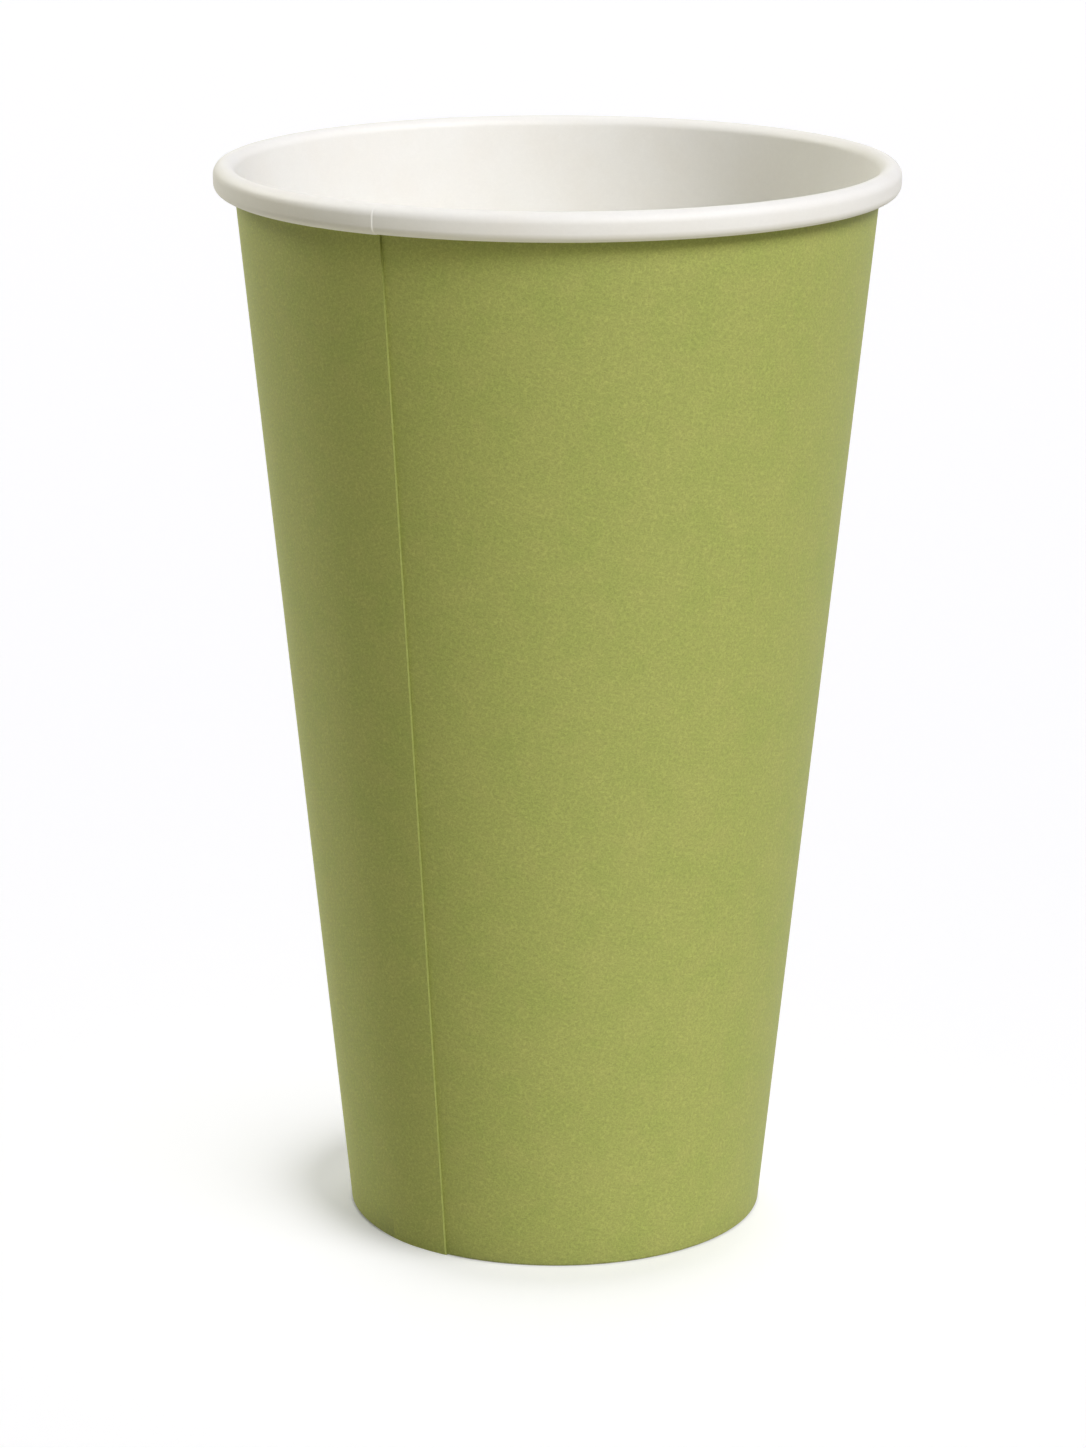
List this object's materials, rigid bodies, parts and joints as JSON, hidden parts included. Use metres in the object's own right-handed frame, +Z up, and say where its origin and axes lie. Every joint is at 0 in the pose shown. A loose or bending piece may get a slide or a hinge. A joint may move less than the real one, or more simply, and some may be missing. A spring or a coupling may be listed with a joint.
{
  "type": "paper cup",
  "caption": "Tall conical paper cup with a rolled rim, a lapped side seam and a recessed bottom disc, for hot drinks.",
  "frame": {"origin": "centre of the foot, in the plane that the cup stands on", "axes": "+Z up along the cup's axis, -Y towards the front, where the side seam is seen left of the middle"},
  "size_m": [0.09, 0.09, 0.1436],
  "materials": {
    "printed_board": "matt printed board, white on the rim and inside",
    "bottom_board": "matt white coated board"
  },
  "bodies": {
    "root": {"side_wall": "printed_board", "bottom_disc": "bottom_board"}
  },
  "joints": []
}
